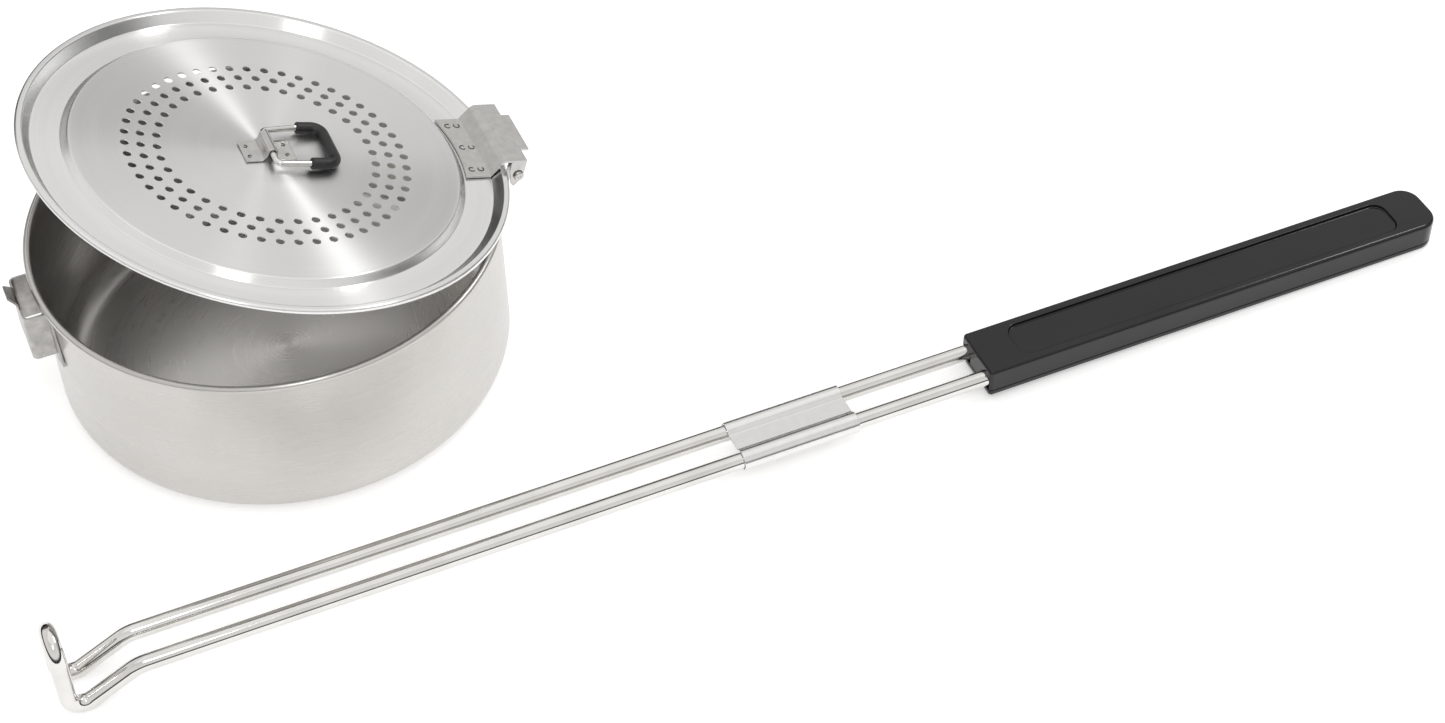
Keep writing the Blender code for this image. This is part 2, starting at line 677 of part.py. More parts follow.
def main():
    clear_scene()
    pan_steel = make_material("pan_steel", (0.62, 0.61, 0.58), 1.0, 0.32)
    bracket_steel = make_material("bracket_steel", (0.6, 0.59, 0.56), 1.0, 0.28)
    rod_steel = make_material("rod_steel", (0.68, 0.67, 0.64), 1.0, 0.18)
    black_rubber = make_material("black_rubber", (0.02, 0.02, 0.02), 0.0, 0.55)
    black_plastic = make_material("black_plastic", (0.012, 0.012, 0.013), 0.0, 0.22)
    screw_steel = make_material("screw_steel", (0.5, 0.5, 0.5), 1.0, 0.35)
    make_pan(pan_steel)
    make_socket(bracket_steel)
    make_hinge_base(bracket_steel)
    make_hinge_pin(bracket_steel)
    lid = add_empty("lid_pivot", (HINGE_X, 0, HINGE_Z), (0, LID_REST_ANGLE, 0))
    make_lid(pan_steel, lid)
    make_hinge_leaf(bracket_steel, lid)
    make_bail(bracket_steel, black_rubber, lid)
    make_handle(rod_steel, black_plastic, screw_steel)


main()
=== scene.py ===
"""Looks for the campfire popcorn maker: turned and satin steel, polished rods, black rubber and plastic."""

import json
import math

import bmesh
import bpy
from mathutils import Matrix, Vector


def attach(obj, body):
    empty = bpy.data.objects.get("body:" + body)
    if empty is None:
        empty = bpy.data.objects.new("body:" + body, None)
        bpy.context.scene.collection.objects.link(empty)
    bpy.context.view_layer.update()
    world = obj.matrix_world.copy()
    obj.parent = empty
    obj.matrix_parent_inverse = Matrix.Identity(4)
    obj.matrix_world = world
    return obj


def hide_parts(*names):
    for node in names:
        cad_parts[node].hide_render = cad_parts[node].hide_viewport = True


MM = 0.001
GAP = 0.3 * MM

# The solids' own sizes
PAN_RADIUS = 109.8 * MM
PAN_HEIGHT = 89.0 * MM
PAN_SHEET = 0.8 * MM
PAN_CORNER = 12.0 * MM
BEAD_RADIUS = 1.85 * MM
RIM_RADIUS = 113.1 * MM
LID_SHEET = 0.6 * MM
PLATEAU_TOP = 89.7 * MM
SHELF_TOP = 86.3 * MM
CROWN_TOP = 91.3 * MM
LID_RADIUS = 114.5 * MM
LIP_BOTTOM = 89.4 * MM
HOLE_RADIUS = 2.05 * MM
HOLE_ROWS = ((50.8 * MM, 37, -4.05), (58.15 * MM, 43, 2.7), (65.4 * MM, 49, 0.45))
PIN_RADIUS = 1.6 * MM
LEAF_SHEET = 1.0 * MM
LEAF_HALF_WIDTH = 22.4 * MM
LEAF_TONGUE_HALF = 13.5 * MM
LEAF_HAT_TOP = 95.8 * MM
LEAF_EAR_ROOT = 114.2 * MM
LEAF_EAR_EDGE = 121.8 * MM
LEAF_FRONT_RADIUS = 94.9 * MM
LEAF_WELD_RADIUS = 98.4 * MM
LEAF_TONGUE_EDGE = 126.0 * MM
BAIL_X = -0.5 * MM
BAIL_WIRE = 1.5 * MM
BAIL_AXLE_HEIGHT = 4.9 * MM
BAIL_REACH = 29.5 * MM
BAIL_NEAR_Y = -14.6 * MM
BAIL_FAR_Y = 12.6 * MM
BAIL_FAR_ROOT_Y = 10.0 * MM
STRAP_SHEET = 0.8 * MM
STRAP_HALF_WIDTH = 7.4 * MM
SLEEVE_RADIUS = 2.8 * MM
SLEEVE_START = 16.5 * MM
SOCKET_SHEET = 1.0 * MM
SOCKET_HALF_WIDTH = 15.2 * MM
SOCKET_DEPTH = 11.0 * MM
SOCKET_BOTTOM = 57.0 * MM
SOCKET_TOP = 83.0 * MM
LIP_HALF_WIDTH = 7.2 * MM
FLANGE_BOTTOM = 52.5 * MM
FLANGE_BOTTOM_HALF = 20.7 * MM
FLANGE_TOP_HALF = 15.6 * MM
HANDLE_ORIGIN = Vector((0.0, -164.2, 14.697)) * MM
ROD_RADIUS = 4.0 * MM
ROD_HALF_SPACING = 9.5 * MM
ROD_END = 352.0 * MM
HOOK_X = -155.3 * MM
STEP_X = -122.5 * MM
STEP_ANGLE = math.radians(27.5)
HOOK_BEND = 7.0 * MM
HOOK_RISE = 25.5 * MM
SLIDER_START = 168.0 * MM
SLIDER_LENGTH = 59.5 * MM
SLIDER_SHEET = 0.9 * MM
SLIDER_WEB_Z = 2.3 * MM
SLIDER_WEB_HALF = 4.5 * MM
GRIP_START = 296.5 * MM
GRIP_END = 553.0 * MM
GRIP_HALF_WIDTH = 15.0 * MM
GRIP_HALF_HEIGHT = 8.0 * MM
GRIP_PARTING_Z = -4.35 * MM
GRIP_REAR_RADIUS = 10.0 * MM
PANEL_START = 316.5 * MM
PANEL_END = 532.0 * MM
PANEL_HALF_WIDTH = 10.4 * MM
PANEL_RADIUS = 6.5 * MM
SCREW_X = (344.0 * MM, 506.0 * MM)
SCREW_RADIUS = 1.5 * MM
SCREW_HEAD_RADIUS = 2.9 * MM

# The photograph's camera: its lens on a full-frame sensor in millimetres, the slopes across and down
# from the middle of its view to the pan's base, and where it stands
SENSOR_WIDTH = 36.0
LENS = 69.498
BASE_ACROSS = -0.15539
BASE_DOWN = -0.005642
CAMERA_ELEVATION = math.radians(46.43)
CAMERA_ROLL = math.radians(-1.343)
CAMERA_AZIMUTH = math.radians(22.81)
CAMERA_DISTANCE = 1395.29 * MM

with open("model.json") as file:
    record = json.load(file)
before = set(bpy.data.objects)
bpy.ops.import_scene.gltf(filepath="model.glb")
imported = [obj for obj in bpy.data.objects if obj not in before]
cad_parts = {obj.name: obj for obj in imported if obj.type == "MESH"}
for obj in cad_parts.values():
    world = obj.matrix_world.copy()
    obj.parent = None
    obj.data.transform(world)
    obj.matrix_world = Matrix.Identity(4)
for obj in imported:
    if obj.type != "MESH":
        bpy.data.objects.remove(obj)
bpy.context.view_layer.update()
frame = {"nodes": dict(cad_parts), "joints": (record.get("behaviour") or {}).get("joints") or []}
joints = {j["name"]: j for j in frame["joints"]}
hinge = Vector(joints["lid_hinge"]["pos_m"])
lid_angle = -math.radians(joints["lid_hinge"]["range_deg"][0])
LID = Matrix.Translation(hinge) @ Matrix.Rotation(lid_angle, 4, "Y") @ Matrix.Translation(-hinge)
AXLE = Vector((BAIL_X, 0.0, PLATEAU_TOP + BAIL_AXLE_HEIGHT))
BAIL = LID @ Matrix.Translation(AXLE)
rod_axis = Vector(joints["slider_slide"]["axis"]).normalized()
HANDLE = (
    Matrix.Translation(HANDLE_ORIGIN)
    @ Matrix.Rotation(math.atan2(rod_axis.y, rod_axis.x), 4, "Z")
    @ Matrix.Rotation(-math.asin(rod_axis.z), 4, "Y")
)


# ---------------------------------------------------------------- mesh helpers
def arc(centre, radius, start, end, steps):
    """Points of a flat arc, angles in degrees, both ends included."""
    points = []
    for i in range(steps + 1):
        angle = math.radians(start + (end - start) * i / steps)
        points.append((centre[0] + radius * math.cos(angle), centre[1] + radius * math.sin(angle)))
    return points


def round_corners(points, radii, steps):
    """A path through the points whose inner corners are arcs of the given radii."""
    path = [Vector(points[0])]
    for i in range(1, len(points) - 1):
        corner = Vector(points[i])
        back = (Vector(points[i - 1]) - corner).normalized()
        ahead = (Vector(points[i + 1]) - corner).normalized()
        half = back.angle(ahead) / 2
        start = corner + back * (radii[i - 1] / math.tan(half))
        centre = corner + (back + ahead).normalized() * (radii[i - 1] / math.sin(half))
        normal = back.cross(ahead).normalized()
        sweep = math.pi - 2 * half
        spoke = start - centre
        for k in range(steps + 1):
            path.append(centre + Matrix.Rotation(-sweep * k / steps, 3, normal) @ spoke)
    path.append(Vector(points[-1]))
    return path


def flat_path(points, radii, steps):
    """A flat path whose inner corners are arcs of the given radii."""
    rounded = round_corners([(u, v, 0.0) for u, v in points], radii, steps)
    return [(p.x, p.y) for p in rounded]


def sheet_outline(path, thickness):
    """Closed outline of a bent sheet whose middle line is the flat path."""
    points = [Vector(p) for p in path]
    left = []
    right = []
    for i, point in enumerate(points):
        before = (point - points[i - 1]).normalized() if i > 0 else None
        after = (points[i + 1] - point).normalized() if i < len(points) - 1 else None
        before = before or after
        after = after or before
        across = Vector((-(before + after).y, (before + after).x)).normalized()
        square = Vector((-before.y, before.x))
        reach = thickness / 2 / max(across.dot(square), 0.5)
        left.append(point + across * reach)
        right.append(point - across * reach)
    return left + right[::-1]


def prism(outline, low, high, place):
    """A solid with the outline for its two ends, placed by a function of (u, v, w)."""
    bm = bmesh.new()
    ends = []
    for w in (low, high):
        ends.append([bm.verts.new(place(u, v, w)) for u, v in outline])
    bm.faces.new(ends[0])
    bm.faces.new(ends[1][::-1])
    for i in range(len(outline)):
        j = (i + 1) % len(outline)
        bm.faces.new((ends[0][i], ends[1][i], ends[1][j], ends[0][j]))
    return bm


def along_x(u, v, w):
    """Places an outline across the X axis."""
    return (w, u, v)


def along_y(u, v, w):
    """Places an outline across the Y axis."""
    return (u, w, v)


def along_z(u, v, w):
    """Places an outline across the Z axis."""
    return (u, v, w)


def on_wall(u, v, w):
    """Wraps an outline on the pan's wall at its -X side, at the height w outside it."""
    return (-math.sqrt((PAN_RADIUS + GAP + w) ** 2 - u**2), u, v)


def ring(bm, radius, z, count):
    """A closed loop of vertices round Z."""
    turn = math.tau / count
    return [bm.verts.new((radius * math.cos(turn * i), radius * math.sin(turn * i), z)) for i in range(count)]


def join_rings(bm, lower, upper):
    """A band of faces between two closed loops of equal count."""
    count = len(lower)
    for i in range(count):
        j = (i + 1) % count
        bm.faces.new((lower[i], lower[j], upper[j], upper[i]))


def lathe(profile, segments):
    """Solid of revolution about Z, from a profile that starts and ends on the axis."""
    bm = bmesh.new()
    rings = [ring(bm, r, z, segments) for r, z in profile if r > 0]
    for lower, upper in zip(rings, rings[1:]):
        join_rings(bm, lower, upper)
    for loop, z in ((rings[0], profile[0][1]), (rings[-1], profile[-1][1])):
        pole = bm.verts.new((0, 0, z))
        for i in range(segments):
            bm.faces.new((pole, loop[i], loop[(i + 1) % segments]))
    return bm


def tube(path, radius, sides, bore=None, ends=None):
    """Round bar along the path, or a pipe when a bore is given; ends shrinks the first and last rings."""
    bm = bmesh.new()
    count = len(path)

    def direction(i):
        return (path[min(i + 1, count - 1)] - path[max(i - 1, 0)]).normalized()

    side = direction(0).orthogonal().normalized()
    previous = direction(0)
    skins = [[], []]
    for i, point in enumerate(path):
        heading = direction(i)
        side = previous.rotation_difference(heading) @ side
        side = (side - heading * side.dot(heading)).normalized()
        up = heading.cross(side)
        previous = heading
        for skin, r in zip(skins, (radius, bore)):
            if r is None:
                continue
            if ends and skin is skins[0]:
                r *= ends.get(i, ends.get(i - count, 1.0))
            angles = [math.tau * k / sides for k in range(sides)]
            skin.append([bm.verts.new(point + (side * math.cos(a) + up * math.sin(a)) * r) for a in angles])
    for skin in skins:
        for lower, upper in zip(skin, skin[1:]):
            join_rings(bm, lower, upper)
    if bore is not None:
        join_rings(bm, skins[0][0], skins[1][0])
        join_rings(bm, skins[0][-1], skins[1][-1])
    else:
        bm.faces.new(skins[0][0])
        bm.faces.new(skins[0][-1])
    return bm


def rounded_box(x0, x1, half, front, rear, steps):
    """Outline of a long flat bar, with a corner radius for its front and one for its rear."""
    outline = []
    for cx, cy, radius, start in (
        (x1 - rear, half - rear, rear, 0),
        (x0 + front, half - front, front, 90),
        (x0 + front, -half + front, front, 180),
        (x1 - rear, -half + rear, rear, 270),
    ):
        outline += arc((cx, cy), radius, start + 90, start, steps)[::-1]
    return outline


def stacked(levels):
    """A solid whose sections are outlines at rising heights."""
    bm = bmesh.new()
    loops = [[bm.verts.new((x, y, z)) for x, y in outline] for outline, z in levels]
    bm.faces.new(loops[0])
    bm.faces.new(loops[-1])
    for lower, upper in zip(loops, loops[1:]):
        join_rings(bm, lower, upper)
    return bm


def loose(name, bm):
    """An object that isn't part of the model yet: a blank or a cutter."""
    bmesh.ops.recalc_face_normals(bm, faces=bm.faces)
    mesh = bpy.data.meshes.new(name)
    bm.to_mesh(mesh)
    bm.free()
    item = bpy.data.objects.new(name, mesh)
    bpy.context.scene.collection.objects.link(item)
    return item


def combine(item, others, operation):
    """Joins the others to the item, or cuts them from it, and removes them."""
    for other in others:
        modifier = item.modifiers.new(operation.lower(), "BOOLEAN")
        modifier.operation = operation
        modifier.solver = "EXACT"
        modifier.object = other
    bpy.context.view_layer.update()
    graph = bpy.context.evaluated_depsgraph_get()
    mesh = bpy.data.meshes.new_from_object(item.evaluated_get(graph))
    item.modifiers.clear()
    item.data = mesh
    for other in others:
        bpy.data.objects.remove(other, do_unlink=True)


def break_edges(item, width):
    """Rounds the piece's sharp edges, as deburring does."""
    modifier = item.modifiers.new("edges", "BEVEL")
    modifier.width = width
    modifier.segments = 2
    modifier.limit_method = "ANGLE"
    modifier.angle_limit = math.radians(40)


def finish_piece(item, material, body, node=None, matrix=None, bevel=0.0, angle=32):
    """Shades the piece, puts it in place, hangs it on its CAD body, and hides the CAD node it stands for."""
    # a long tilted piece keeps its place in its mesh, so that the box round it is no larger than the piece
    if body == "handle":
        item.data.transform(matrix)
        matrix = None
    item.data.shade_smooth()
    item.data.set_sharp_from_angle(angle=math.radians(angle))
    item.data.materials.clear()
    item.data.materials.append(material)
    if bevel:
        break_edges(item, bevel)
    # large faces keep their own flat normals, and the small ones beside them take up the turn
    weighted = item.modifiers.new("normals", "WEIGHTED_NORMAL")
    weighted.weight = 100
    weighted.keep_sharp = True
    if matrix is not None:
        item.matrix_world = matrix
    bpy.context.view_layer.update()
    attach(item, body)
    if node:
        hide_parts(node)
    return item


# ---------------------------------------------------------------- materials
def new_material(name, colour, metallic, roughness):
    """A Principled material, with its tree and its shader."""
    material = bpy.data.materials.new(name)
    material.use_nodes = True
    tree = material.node_tree
    shader = tree.nodes["Principled BSDF"]
    shader.inputs["Base Color"].default_value = (*colour, 1.0)
    shader.inputs["Metallic"].default_value = metallic
    shader.inputs["Roughness"].default_value = roughness
    return material, tree, shader


def stretched_noise(tree, scale, detail, stretch, source=None):
    """Noise on the piece's own coordinates, with each axis scaled by stretch."""
    if source is None:
        source = tree.nodes.new("ShaderNodeTexCoord").outputs["Object"]
    mapping = tree.nodes.new("ShaderNodeMapping")
    mapping.inputs["Scale"].default_value = stretch
    tree.links.new(source, mapping.inputs["Vector"])
    noise = tree.nodes.new("ShaderNodeTexNoise")
    noise.inputs["Scale"].default_value = scale
    noise.inputs["Detail"].default_value = detail
    tree.links.new(mapping.outputs["Vector"], noise.inputs["Vector"])
    return noise.outputs["Fac"]


def ranged(tree, source, low, high, start=0.3, end=0.7):
    """The source's start to end, mapped to low to high."""
    node = tree.nodes.new("ShaderNodeMapRange")
    node.inputs["From Min"].default_value = start
    node.inputs["From Max"].default_value = end
    node.inputs["To Min"].default_value = low
    node.inputs["To Max"].default_value = high
    tree.links.new(source, node.inputs["Value"])
    return node.outputs["Result"]


def added(tree, first, second):
    """The sum of two values."""
    node = tree.nodes.new("ShaderNodeMath")
    node.operation = "ADD"
    tree.links.new(first, node.inputs[0])
    tree.links.new(second, node.inputs[1])
    return node.outputs["Value"]


def tint(tree, source, dark, light):
    """A colour that runs from dark to light with the source."""
    node = tree.nodes.new("ShaderNodeValToRGB")
    node.color_ramp.elements[0].position = 0.3
    node.color_ramp.elements[0].color = (*dark, 1.0)
    node.color_ramp.elements[1].position = 0.7
    node.color_ramp.elements[1].color = (*light, 1.0)
    tree.links.new(source, node.inputs["Fac"])
    return node.outputs["Color"]


def add_bump(tree, shader, source, strength, distance, below=None):
    """A bump from the source, over the bump below it."""
    node = tree.nodes.new("ShaderNodeBump")
    node.inputs["Strength"].default_value = strength
    node.inputs["Distance"].default_value = distance
    tree.links.new(source, node.inputs["Height"])
    if below is not None:
        tree.links.new(below, node.inputs["Normal"])
    tree.links.new(node.outputs["Normal"], shader.inputs["Normal"])
    return node.outputs["Normal"]


def polar(tree):
    """Radius, angle and height of a point in the piece's own frame, as one vector."""
    coords = tree.nodes.new("ShaderNodeTexCoord")
    split = tree.nodes.new("ShaderNodeSeparateXYZ")
    tree.links.new(coords.outputs["Object"], split.inputs["Vector"])
    flat = tree.nodes.new("ShaderNodeCombineXYZ")
    tree.links.new(split.outputs["X"], flat.inputs["X"])
    tree.links.new(split.outputs["Y"], flat.inputs["Y"])
    length = tree.nodes.new("ShaderNodeVectorMath")
    length.operation = "LENGTH"
    tree.links.new(flat.outputs["Vector"], length.inputs[0])
    turn = tree.nodes.new("ShaderNodeMath")
    turn.operation = "ARCTAN2"
    tree.links.new(split.outputs["Y"], turn.inputs[0])
    tree.links.new(split.outputs["X"], turn.inputs[1])
    joined = tree.nodes.new("ShaderNodeCombineXYZ")
    tree.links.new(length.outputs["Value"], joined.inputs["X"])
    tree.links.new(turn.outputs["Value"], joined.inputs["Y"])
    tree.links.new(split.outputs["Z"], joined.inputs["Z"])
    return joined.outputs["Vector"]


def radial_tangent(tree, shader):
    """Grain that runs round the piece's own Z axis."""
    tangent = tree.nodes.new("ShaderNodeTangent")
    tangent.direction_type = "RADIAL"
    tangent.axis = "Z"
    tree.links.new(tangent.outputs["Tangent"], shader.inputs["Tangent"])
    # a quarter turn: the shine spreads across the turned lines, not along them
    shader.inputs["Anisotropic Rotation"].default_value = 0.25


def turned_steel():
    """Lathe-turned sheet: fine concentric lines whose depth and shine vary with the radius."""
    material, tree, shader = new_material("turned_steel", (0.66, 0.655, 0.65), 1.0, 0.3)
    around = polar(tree)
    fine = stretched_noise(tree, 1.0, 3.0, (2600.0, 0.0, 900.0), around)
    broad = stretched_noise(tree, 1.0, 2.0, (260.0, 0.0, 120.0), around)
    tree.links.new(tint(tree, fine, (0.78, 0.777, 0.772), (0.815, 0.812, 0.807)), shader.inputs["Base Color"])
    # the pressed edge is smoother than the turned plateau
    radius = tree.nodes.new("ShaderNodeSeparateXYZ")
    tree.links.new(around, radius.inputs["Vector"])
    edge = ranged(tree, radius.outputs["X"], 0.0, -0.15, 89.0 * MM, 92.0 * MM)
    tree.links.new(added(tree, ranged(tree, broad, 0.35, 0.38), edge), shader.inputs["Roughness"])
    shader.inputs["Anisotropic"].default_value = 0.95
    radial_tangent(tree, shader)
    add_bump(tree, shader, fine, 0.015, 0.00002)
    return material


def satin_steel():
    """Pan wall: drawn sheet with faint lines round the wall and a few soft marks."""
    material, tree, shader = new_material("satin_steel", (0.62, 0.61, 0.59), 1.0, 0.3)
    around = polar(tree)
    lines = stretched_noise(tree, 1.0, 3.0, (900.0, 0.0, 1500.0), around)
    clouds = stretched_noise(tree, 14.0, 2.0, (1.0, 1.0, 1.6))
    scuffs = stretched_noise(tree, 60.0, 6.0, (1.0, 1.0, 9.0))
    colour = tint(tree, clouds, (0.575, 0.562, 0.54), (0.62, 0.607, 0.585))
    tree.links.new(colour, shader.inputs["Base Color"])
    marks = ranged(tree, scuffs, -0.005, 0.01, 0.45, 0.75)
    tree.links.new(added(tree, ranged(tree, lines, 0.27, 0.3), marks), shader.inputs["Roughness"])
    shader.inputs["Anisotropic"].default_value = 0.7
    radial_tangent(tree, shader)
    add_bump(tree, shader, lines, 0.015, 0.00002)
    return material


def sheet_steel(name, low, high, rough_low, rough_high, grain):
    """Pressed bracket sheet with a rolled grain and small marks."""
    material, tree, shader = new_material(name, high, 1.0, rough_low)
    rolled = stretched_noise(tree, 1.0, 4.0, grain)
    marks = stretched_noise(tree, 240.0, 5.0, (1.0, 1.0, 1.0))
    tree.links.new(tint(tree, marks, low, high), shader.inputs["Base Color"])
    tree.links.new(ranged(tree, rolled, rough_low, rough_high), shader.inputs["Roughness"])
    first = add_bump(tree, shader, rolled, 0.05, 0.00003)
    add_bump(tree, shader, marks, 0.04, 0.00004, first)
    return material


def polished_steel():
    """Drawn bar, polished, with faint draw lines along it and slightly uneven shine."""
    material, tree, shader = new_material("polished_steel", (0.72, 0.71, 0.69), 1.0, 0.12)
    draw = stretched_noise(tree, 1.0, 3.0, (18.0, 1400.0, 1400.0))
    clouds = stretched_noise(tree, 45.0, 3.0, (1.0, 1.0, 1.0))
    tree.links.new(tint(tree, clouds, (0.66, 0.65, 0.625), (0.75, 0.74, 0.72)), shader.inputs["Base Color"])
    tree.links.new(ranged(tree, clouds, 0.05, 0.1), shader.inputs["Roughness"])
    add_bump(tree, shader, draw, 0.02, 0.00002)
    return material


def black_rubber():
    """Smooth sleeve with a fine skin and a little dust."""
    material, tree, shader = new_material("sleeve_rubber", (0.012, 0.012, 0.012), 0.0, 0.45)
    skin = stretched_noise(tree, 1500.0, 4.0, (1.0, 1.0, 1.0))
    dust = stretched_noise(tree, 160.0, 4.0, (1.0, 1.0, 1.0))
    colour = tint(tree, dust, (0.008, 0.008, 0.008), (0.022, 0.022, 0.022))
    tree.links.new(colour, shader.inputs["Base Color"])
    tree.links.new(ranged(tree, dust, 0.36, 0.52), shader.inputs["Roughness"])
    add_bump(tree, shader, skin, 0.2, 0.00004)
    return material


def black_plastic():
    """Gloss moulding with a very fine skin, slow sink waves and a few dull patches from handling."""
    material, tree, shader = new_material("gloss_moulding", (0.01, 0.01, 0.011), 0.0, 0.22)
    skin = stretched_noise(tree, 2200.0, 3.0, (1.0, 1.0, 1.0))
    waves = stretched_noise(tree, 30.0, 1.0, (0.4, 1.0, 1.0))
    touch = stretched_noise(tree, 55.0, 5.0, (0.5, 1.0, 1.0))
    colour = tint(tree, touch, (0.003, 0.003, 0.0032), (0.006, 0.006, 0.0064))
    tree.links.new(colour, shader.inputs["Base Color"])
    tree.links.new(ranged(tree, touch, 0.11, 0.17), shader.inputs["Roughness"])
    first = add_bump(tree, shader, waves, 0.05, 0.0003)
    add_bump(tree, shader, skin, 0.04, 0.00002, first)
    shader.inputs["Specular IOR Level"].default_value = 0.45
    return material


TURNED = turned_steel()
SATIN = satin_steel()
BRACKET = sheet_steel(
    "bracket_sheet", (0.5, 0.49, 0.475), (0.58, 0.57, 0.555), 0.2, 0.27, (900.0, 50.0, 900.0)
)
SOCKET = sheet_steel("socket_sheet", (0.36, 0.35, 0.34), (0.5, 0.49, 0.475), 0.3, 0.42, (700.0, 700.0, 90.0))
SLIDER = sheet_steel(
    "slider_sheet", (0.72, 0.715, 0.705), (0.75, 0.745, 0.735), 0.2, 0.25, (40.0, 1500.0, 1500.0)
)
WELD = sheet_steel("weld_steel", (0.12, 0.11, 0.1), (0.2, 0.185, 0.17), 0.3, 0.4, (900.0, 900.0, 900.0))
PLATED = sheet_steel("screw_plate", (0.4, 0.4, 0.4), (0.55, 0.55, 0.55), 0.25, 0.38, (900.0, 900.0, 900.0))
POLISHED = polished_steel()
RUBBER = black_rubber()
PLASTIC = black_plastic()


# ---------------------------------------------------------------- pan
def make_pan():
    """The spun pan: base, wall and rolled rim."""
    inner = PAN_RADIUS - PAN_SHEET
    bead_r = RIM_RADIUS - BEAD_RADIUS
    bead_z = PAN_HEIGHT - BEAD_RADIUS
    foot = (PAN_RADIUS - PAN_CORNER, PAN_CORNER)
    outer_turn = math.degrees(math.acos((PAN_RADIUS - bead_r) / BEAD_RADIUS))
    profile = [(0.0, 0.0), (40 * MM, 0.0), (80 * MM, 0.0)]
    profile += arc(foot, PAN_CORNER, -90, 0, 16)
    profile += [(PAN_RADIUS, z * MM) for z in (30, 50, 70, 80)]
    profile += arc((bead_r, bead_z), BEAD_RADIUS, -outer_turn, 98, 22)
    # the rolled edge closes on the wall in a fine groove
    profile += arc((bead_r, bead_z), BEAD_RADIUS - 0.6 * MM, 106, 118, 2)
    profile += arc((bead_r, bead_z), BEAD_RADIUS - 0.05 * MM, 120, 180, 8)
    profile += [(inner, bead_z - 1.6 * MM)]
    profile += [(inner, z * MM) for z in (80, 60, 40, 20)]
    profile += arc(foot, PAN_CORNER - PAN_SHEET, 0, -90, 12)
    profile += [(60 * MM, PAN_SHEET), (0.0, PAN_SHEET)]
    finish_piece(loose("pan", lathe(profile, 224)), SATIN, "pot", "pot_body", angle=38)


def make_socket():
    """The channel on the wall that takes the handle's hook, with its lip and side flanges."""
    face = -PAN_RADIUS - SOCKET_DEPTH + SOCKET_SHEET / 2
    root = -PAN_RADIUS + 0.3 * MM
    half = SOCKET_HALF_WIDTH - SOCKET_SHEET / 2
    corners = [(root, -half), (face, -half), (face, half), (root, half)]
    outline = sheet_outline(flat_path(corners, [2.4 * MM] * 2, 10), SOCKET_SHEET)
    socket = loose("socket", prism(outline, SOCKET_BOTTOM, SOCKET_TOP, along_z))
    flange = [(half, SOCKET_TOP - 3.0 * MM), (FLANGE_TOP_HALF, SOCKET_TOP - 3.0 * MM)]
    flange += [(FLANGE_BOTTOM_HALF, FLANGE_BOTTOM), (half, FLANGE_BOTTOM)]
    lip_points = [
        (face, SOCKET_TOP - 3.0 * MM),
        (face, SOCKET_TOP + 1.6 * MM),
        (face - 4.0 * MM, SOCKET_TOP + 6.0 * MM),
    ]
    lip_outline = sheet_outline(flat_path(lip_points, [5.0 * MM], 10), SOCKET_SHEET - 0.1 * MM)
    lip = prism(lip_outline, -LIP_HALF_WIDTH, LIP_HALF_WIDTH, along_y)
    for vert in lip.verts:
        rise = max(0.0, vert.co.z - SOCKET_TOP)
        vert.co.y -= math.copysign(0.42 * rise, vert.co.y)
    extras = [loose("lip", lip)]
    for side in (-1, 1):
        extras.append(loose("flange", prism([(side * u, v) for u, v in flange], 0, SOCKET_SHEET, on_wall)))
    combine(socket, extras, "UNION")
    finish_piece(socket, SOCKET, "pot", "handle_socket", bevel=0.15 * MM)


def make_hinge_base():
    """The bracket under the rim keeps its solid, with its edges broken and its own sheet finish."""
    node = frame["nodes"]["hinge_base"]
    node.data.materials.clear()
    node.data.materials.append(BRACKET)
    break_edges(node, 0.15 * MM)


def make_hinge_pin():
    """The rivet of the lid hinge, with a dished head at each end."""
    shank = LEAF_HALF_WIDTH + GAP
    end = shank + 1.2 * MM
    half = [(0.0, end - 0.45 * MM), (0.5 * MM, end - 0.4 * MM), (0.75 * MM, end - 0.05 * MM), (1.2 * MM, end)]
    half += [(2.0 * MM, end - 0.1 * MM), (2.45 * MM, end - 0.4 * MM), (2.6 * MM, end - 0.8 * MM)]
    half += [(2.6 * MM, shank), (PIN_RADIUS, shank)]
    profile = [(r, -z) for r, z in half] + half[::-1]
    pin = loose("rivet", lathe(profile, 40))
    place = Matrix.Translation(hinge) @ Matrix.Rotation(math.radians(90), 4, "X")
    finish_piece(pin, BRACKET, "pot", "hinge_pin", matrix=place, angle=40)


# ---------------------------------------------------------------- lid
def make_lid():
    """The pressed lid: plateau, shelf, crown and lip, with three rows of holes."""
    half = LID_SHEET / 2
    plateau, shelf, crown = PLATEAU_TOP - half, SHELF_TOP - half, CROWN_TOP - half
    edge = LID_RADIUS - half
    points = [
        (80.0 * MM, plateau),
        (90.7 * MM, plateau),
        (93.6 * MM, shelf),
        (107.6 * MM, shelf),
        (111.4 * MM, crown),
        (edge, crown),
        (edge, LIP_BOTTOM),
    ]
    path = flat_path(points, [0.9 * MM, 0.8 * MM, 0.9 * MM, 0.8 * MM, 0.9 * MM], 6)
    bm = bmesh.new()
    loops = [ring(bm, r, z, 256) for r, z in sheet_outline(path, LID_SHEET)]
    for lower, upper in zip(loops, loops[1:]):
        join_rings(bm, lower, upper)
    bm.faces.new(loops[0])
    bm.faces.new(loops[-1])
    lid = loose("lid", bm)
    drills = bmesh.new()
    for radius, count, first in HOLE_ROWS:
        for k in range(count):
            angle = math.radians(first + 360 * k / count)
            centre = (radius * math.cos(angle), radius * math.sin(angle))
            hole = arc(centre, HOLE_RADIUS, 0, 360, 20)[:-1]
            ends = [[drills.verts.new((x, y, PLATEAU_TOP + z)) for x, y in hole] for z in (-2 * MM, 1 * MM)]
            drills.faces.new(ends[0])
            drills.faces.new(ends[1])
            join_rings(drills, ends[0], ends[1])
    combine(lid, [loose("drills", drills)], "DIFFERENCE")
    finish_piece(lid, TURNED, "lid", "lid_panel", matrix=LID)


